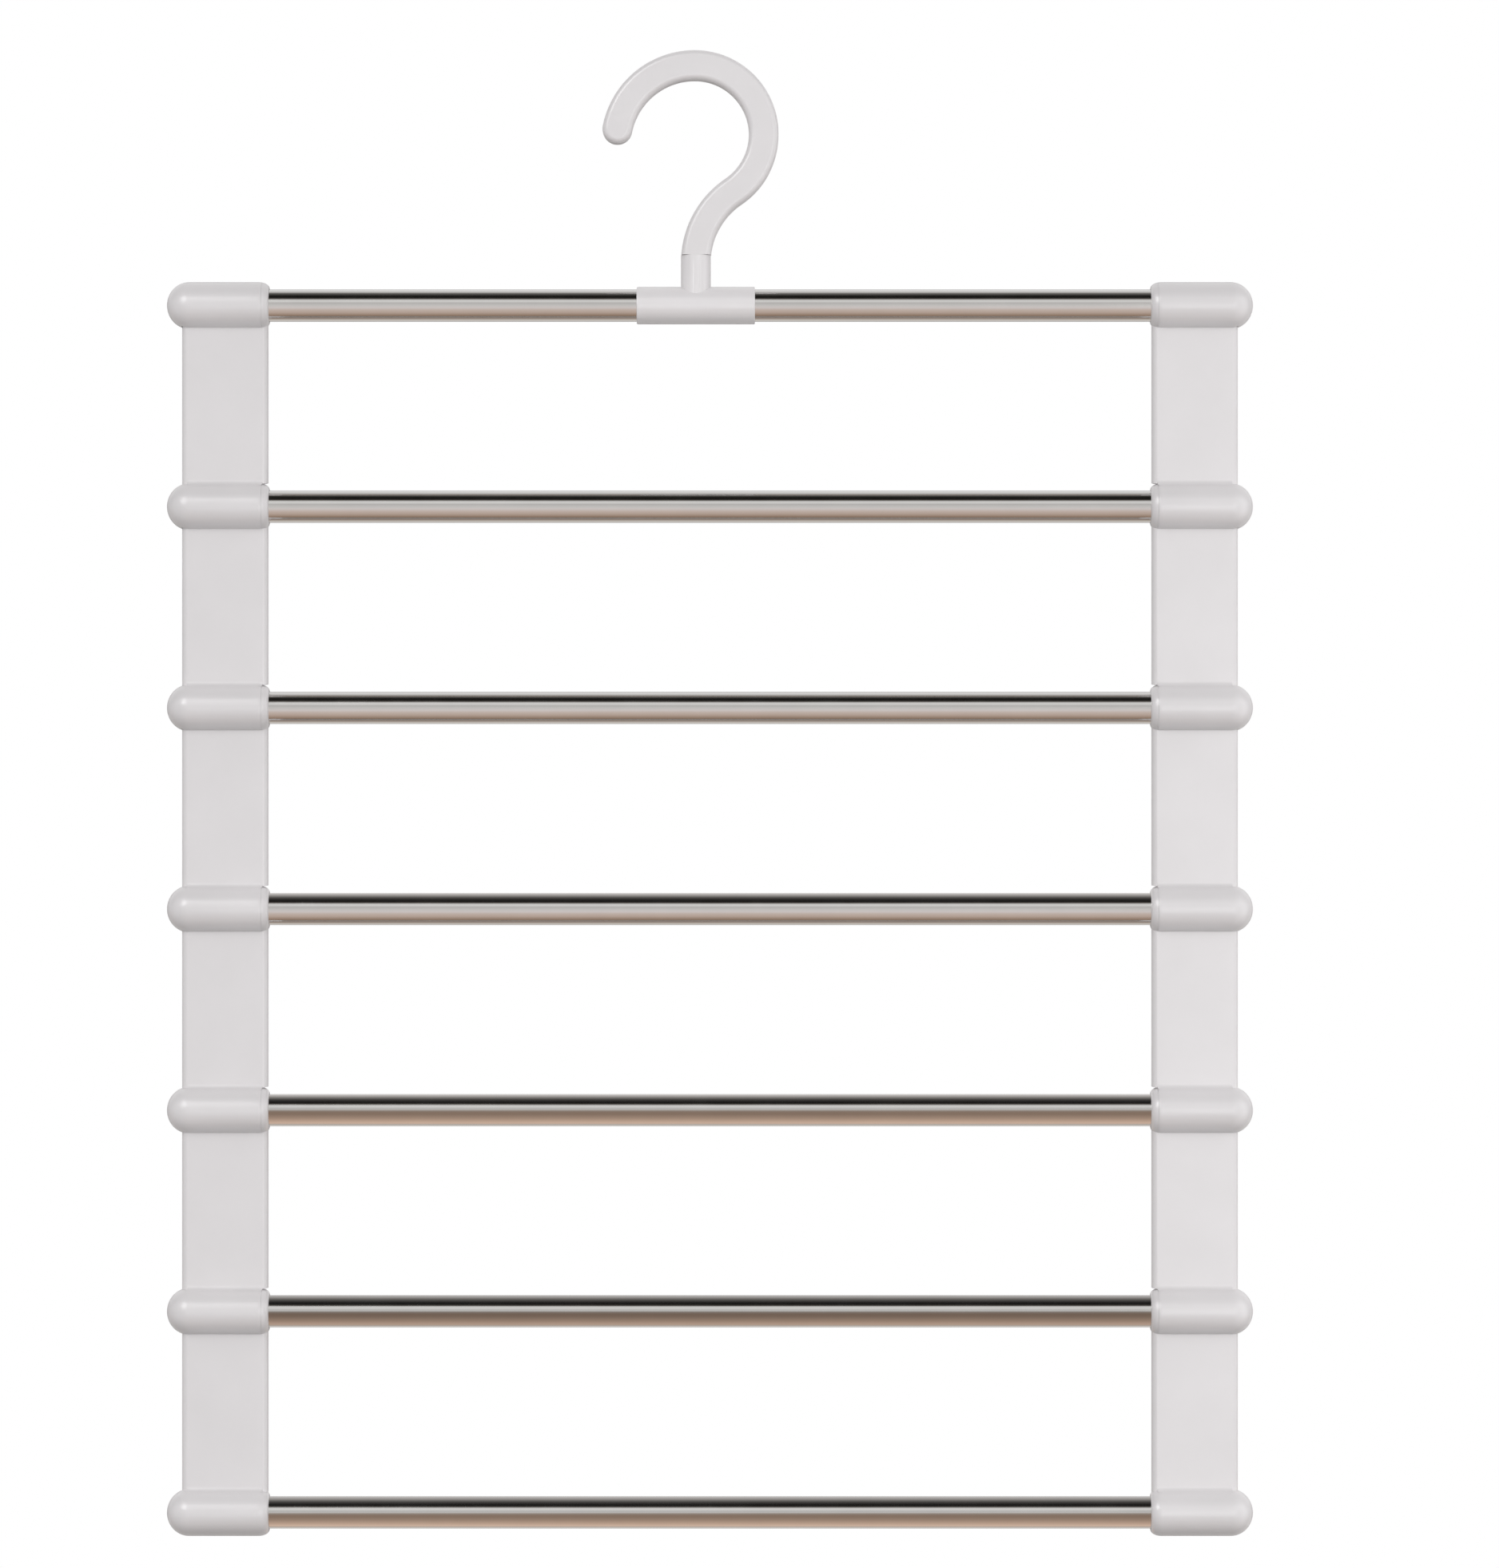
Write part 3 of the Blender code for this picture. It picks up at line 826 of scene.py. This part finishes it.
# The strength of what shows, by degrees to the left (-) or right of the front
SIDEWAYS = (
    (-180, 1.0),
    (-120, 1.0),
    (-104, 0.75),
    (-88, 0.5),
    (-54, 0.5),
    (-42, 1.0),
    (88, 1.0),
    (108, 0.6),
    (124, 1.0),
    (180, 1.0),
)

# Glowing cards curled close round the lowest bars, with their ends hidden in the barrels: they
# paint reflections of warm and dark bands on the polished tubes
REFLECTION_CARD_RADIUS = 0.0075
REFLECTION_CARD_TUCK = 0.012

# Painted warm reflection in front: the share of the tones at each tier, and the tones by degrees
# over the horizon
WARM_REFLECTION_CARDS = {5: 1.06, 6: 0.80, 7: 1.1}
WARM_REFLECTION_TONES = (
    (-74, (0.88, 0.66, 0.53)),
    (-60, (0.80, 0.585, 0.46)),
    (-49, (0.68, 0.49, 0.38)),
    (-39, (0.56, 0.405, 0.31)),
    (-30, (0.46, 0.33, 0.255)),
    (-23, (0.40, 0.29, 0.225)),
    (-16, (0.345, 0.247, 0.19)),
    (-8, (0.33, 0.24, 0.185)),
    (-1, (0.37, 0.30, 0.255)),
    (5, (0.62, 0.59, 0.56)),
)

# Painted dark reflection above, by the same angle
DARK_REFLECTION_CARDS = {4: 1.1, 5: 1.1, 6: 0.85, 7: 0.95}
DARK_REFLECTION_TONES = (
    (39, (0.014, 0.013, 0.012)),
    (46, (0.027, 0.025, 0.024)),
    (56, (0.090, 0.085, 0.082)),
    (68, (0.26, 0.25, 0.24)),
    (79, (0.50, 0.48, 0.47)),
    (102, (0.80, 0.78, 0.77)),
    (120, (0.95, 0.94, 0.93)),
)

# Softboxes: degrees right and up, distance, width, height, radiance, and if glossy rays see it
SOFTBOXES = (
    ("front_softbox", 6, -4.5, 3.2, 1.6, 1.2, 4.8, False),
    ("upper_left_softbox", -30, 28.6, 2.7, 1.25, 1.25, 3.5, True),
    ("low_right_softbox", 22, 2, 2.4, 1.0, 1.2, 1.0, True),
    ("right_softbox", 76, -4, 0.95, 0.4, 1.3, 2.8, False),
    ("left_softbox", -72, -4, 1.1, 0.4, 1.3, 1.3, False),
    ("rear_right_softbox", 155, 12, 2.4, 1.0, 1.2, 4.4, False),
    ("rear_left_softbox", -155, 12, 2.4, 1.0, 1.2, 4.6, False),
)


def camera_axis():
    """The point of the ladder's plane at the photograph's centre."""
    across = middle + (PHOTO_WIDTH / 2 - MIDDLE_PIXEL) / PIXELS_PER_METRE
    up = axis_height(SIGHTED_TIER) + (SIGHTED_PIXEL - PHOTO_HEIGHT / 2) / PIXELS_PER_METRE
    return across, up


def set_camera():
    """The photograph's view, square on."""
    across, up = camera_axis()
    data = bpy.data.cameras.new("front")
    data.sensor_width = SENSOR
    data.lens = SENSOR * CAMERA_DISTANCE * PIXELS_PER_METRE / PHOTO_HEIGHT
    data.clip_start, data.clip_end = CAMERA_CLIP
    camera = bpy.data.objects.new("front", data)
    camera.location = (across, -CAMERA_DISTANCE, up)
    camera.rotation_euler = (QUARTER_TURN, 0, 0)
    bpy.context.scene.collection.objects.link(camera)
    bpy.context.scene.camera = camera


def seen_directly(tree, path):
    """1 for rays that show the background: camera, glossy and transmission rays."""
    most = path.outputs["Is Camera Ray"]
    for name in ("Is Glossy Ray", "Is Transmission Ray"):
        larger = node(tree, "ShaderNodeMath", operation="MAXIMUM")
        tree.links.new(most, larger.inputs[0])
        tree.links.new(path.outputs[name], larger.inputs[1])
        most = larger.outputs[0]
    return most


def ramp_by_angle(tree, angle, limit, stops):
    """A color ramp over an angle in radians, with its stops and its limit both ways in degrees."""
    share = node(tree, "ShaderNodeMapRange",
                 From_Min=-math.radians(limit), From_Max=math.radians(limit))
    tree.links.new(angle, share.inputs["Value"])
    ramp = node(tree, "ShaderNodeValToRGB")
    places = ramp.color_ramp.elements
    while len(places) < len(stops):
        places.new(1.0)
    for place, (degrees, color) in zip(places, stops):
        place.position = (degrees + limit) / (2 * limit)
        place.color = (*color, 1)
    tree.links.new(share.outputs["Result"], ramp.inputs["Fac"])
    return ramp.outputs["Color"]


def grays(stops):
    """Stops of one level each, as colors."""
    return [(degrees, (level, level, level)) for degrees, level in stops]


def set_world():
    """White behind the object, soft light all round, and the studio that glossy rays see."""
    world = bpy.data.worlds.new("studio")
    bpy.context.scene.world = world
    world.use_nodes = True
    tree = world.node_tree
    tree.nodes.clear()
    link = tree.links.new

    place = node(tree, "ShaderNodeTexCoord")
    split = node(tree, "ShaderNodeSeparateXYZ")
    link(place.outputs["Generated"], split.inputs["Vector"])
    front = node(tree, "ShaderNodeMath", operation="MULTIPLY")
    front.inputs[1].default_value = -1
    across = node(tree, "ShaderNodeMath", operation="ABSOLUTE")
    outward = node(tree, "ShaderNodeMath", operation="MULTIPLY_ADD")
    outward.inputs[1].default_value = SIDE_WALLS
    over_front = node(tree, "ShaderNodeMath", operation="ARCTAN2")
    link(split.outputs["Y"], front.inputs[0])
    link(split.outputs["X"], across.inputs[0])
    link(across.outputs[0], outward.inputs[0])
    link(front.outputs[0], outward.inputs[2])
    link(split.outputs["Z"], over_front.inputs[0])
    link(outward.outputs[0], over_front.inputs[1])
    height = node(tree, "ShaderNodeMath", operation="ARCSINE")
    link(split.outputs["Z"], height.inputs[0])

    sideways = node(tree, "ShaderNodeMath", operation="ARCTAN2")
    link(split.outputs["X"], sideways.inputs[0])
    link(front.outputs[0], sideways.inputs[1])
    studio = node(tree, "ShaderNodeBackground")
    color = ramp_by_angle(tree, over_front.outputs[0], STRAIGHT_BACK, SURROUNDINGS)
    link(color, studio.inputs["Color"])
    strength = ramp_by_angle(tree, sideways.outputs[0], STRAIGHT_BACK, grays(SIDEWAYS))
    link(strength, studio.inputs["Strength"])
    soft_light = node(tree, "ShaderNodeBackground")
    color = ramp_by_angle(tree, height.outputs[0], STRAIGHT_UP, grays(SOFT_LIGHT))
    link(color, soft_light.inputs["Color"])
    white = node(tree, "ShaderNodeBackground", Color=WHITE)

    path = node(tree, "ShaderNodeLightPath")
    shown = node(tree, "ShaderNodeMixShader")
    link(seen_directly(tree, path), shown.inputs["Fac"])
    link(soft_light.outputs[0], shown.inputs[1])
    link(white.outputs[0], shown.inputs[2])
    glossy_rays = node(tree, "ShaderNodeMixShader")
    link(path.outputs["Is Glossy Ray"], glossy_rays.inputs["Fac"])
    link(shown.outputs[0], glossy_rays.inputs[1])
    link(studio.outputs[0], glossy_rays.inputs[2])
    result = node(tree, "ShaderNodeOutputWorld")
    link(glossy_rays.outputs[0], result.inputs["Surface"])


def set_floor():
    """A plain pale floor under the hanging object, which keeps the object's shadow."""
    bottom = axis_height(tiers) - barrel_radius - FLOOR_DROP
    bm = bmesh.new()
    bmesh.ops.create_grid(bm, x_segments=1, y_segments=1, size=FLOOR_HALF)
    mesh = bpy.data.meshes.new("floor")
    bm.to_mesh(mesh)
    bm.free()
    mesh.transform(Matrix.Translation((middle, 0, bottom)))
    floor = linked("floor", mesh)
    finish, tree = new_finish("pale_floor")
    tree.nodes.clear()
    link = tree.links.new
    pale = node(tree, "ShaderNodeBsdfDiffuse", Color=FLOOR_COLOR)
    glow = node(tree, "ShaderNodeEmission", Color=WHITE)
    lift = node(tree, "ShaderNodeMath", operation="MULTIPLY")
    lift.inputs[1].default_value = FLOOR_GLOW
    both = node(tree, "ShaderNodeAddShader")
    result = node(tree, "ShaderNodeOutputMaterial")
    link(seen_directly(tree, node(tree, "ShaderNodeLightPath")), lift.inputs[0])
    link(lift.outputs[0], glow.inputs["Strength"])
    link(pale.outputs[0], both.inputs[0])
    link(glow.outputs[0], both.inputs[1])
    link(both.outputs[0], result.inputs["Surface"])
    mesh.materials.append(finish)
    floor.visible_glossy = False


def reflection_card_finish():
    """The glow of a card in the tones of its points, a painted reflection on a polished tube,
    clear from its outer side.
    """
    finish, tree = new_finish("painted_reflection_card")
    tree.nodes.clear()
    link = tree.links.new
    tone = node(tree, "ShaderNodeAttribute", attribute_name="tone")
    glow = node(tree, "ShaderNodeEmission")
    clear = node(tree, "ShaderNodeBsdfTransparent")
    side = node(tree, "ShaderNodeNewGeometry")
    hollow = node(tree, "ShaderNodeMixShader")
    result = node(tree, "ShaderNodeOutputMaterial")
    link(tone.outputs["Color"], glow.inputs["Color"])
    link(side.outputs["Backfacing"], hollow.inputs["Fac"])
    link(glow.outputs[0], hollow.inputs[1])
    link(clear.outputs[0], hollow.inputs[2])
    link(hollow.outputs[0], result.inputs["Surface"])
    return finish


def reflection_card_mesh(name, tier, share, stops):
    """A card curled round a tier's bar, with a share of each stop's tone, which paints a
    reflection on the bar.
    """
    bm = bmesh.new()
    tones = bm.verts.layers.float_color.new("tone")
    reach = nose_face + REFLECTION_CARD_TUCK
    rows = []
    for degrees, color in stops:
        turn = math.radians(degrees)
        deep = -REFLECTION_CARD_RADIUS * math.cos(turn)
        up = axis_height(tier) + REFLECTION_CARD_RADIUS * math.sin(turn)
        row = [bm.verts.new((across, deep, up)) for across in (middle - reach, middle + reach)]
        for vert in row:
            vert[tones] = (*(share * part for part in color), 1)
        rows.append(row)
    for low, high in zip(rows, rows[1:]):
        bm.faces.new((low[0], high[0], high[1], low[1]))
    mesh = bpy.data.meshes.new(name)
    bm.to_mesh(mesh)
    bm.free()
    return mesh


def set_reflection_cards():
    """Cards of painted reflection that only glossy rays see, and only from their hollow side; each
    follows its bar.
    """
    finish = reflection_card_finish()
    for kind, shares, stops in (
        ("painted_warm_reflection", WARM_REFLECTION_CARDS, WARM_REFLECTION_TONES),
        ("painted_dark_reflection", DARK_REFLECTION_CARDS, DARK_REFLECTION_TONES),
    ):
        for tier, share in shares.items():
            name = f"{kind}_{tier}"
            mesh = reflection_card_mesh(name, tier, share, stops)
            mesh.materials.append(finish)
            card = linked(name, mesh)
            for rays in ("camera", "diffuse", "transmission", "volume_scatter", "shadow"):
                setattr(card, f"visible_{rays}", False)
            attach(card, f"tier_{tier}")


def set_softbox(name, azimuth, elevation, distance, width, height, radiance, glossy):
    """A soft light at a distance from the point at the photo's centre, and turned to it."""
    data = bpy.data.lights.new(name, "AREA")
    data.shape = "RECTANGLE"
    data.size = width
    data.size_y = height
    data.energy = radiance * width * height * math.pi
    lamp = bpy.data.objects.new(name, data)
    across, up = camera_axis()
    turn, tilt = math.radians(azimuth), math.radians(elevation)
    side, front = math.sin(turn) * math.cos(tilt), -math.cos(turn) * math.cos(tilt)
    place = distance * Vector((side, front, math.sin(tilt)))
    lamp.location = place + Vector((across, 0, up))
    lamp.rotation_euler = (-place).to_track_quat("-Z", "Y").to_euler()
    lamp.visible_glossy = glossy
    bpy.context.scene.collection.objects.link(lamp)


make_bars()
make_links()
make_sleeve()
make_hook()
set_camera()
set_world()
set_floor()
# Painted reflections on the lower tubes
set_reflection_cards()
for softbox in SOFTBOXES:
    set_softbox(*softbox)
bpy.context.scene.view_settings.view_transform = "Standard"
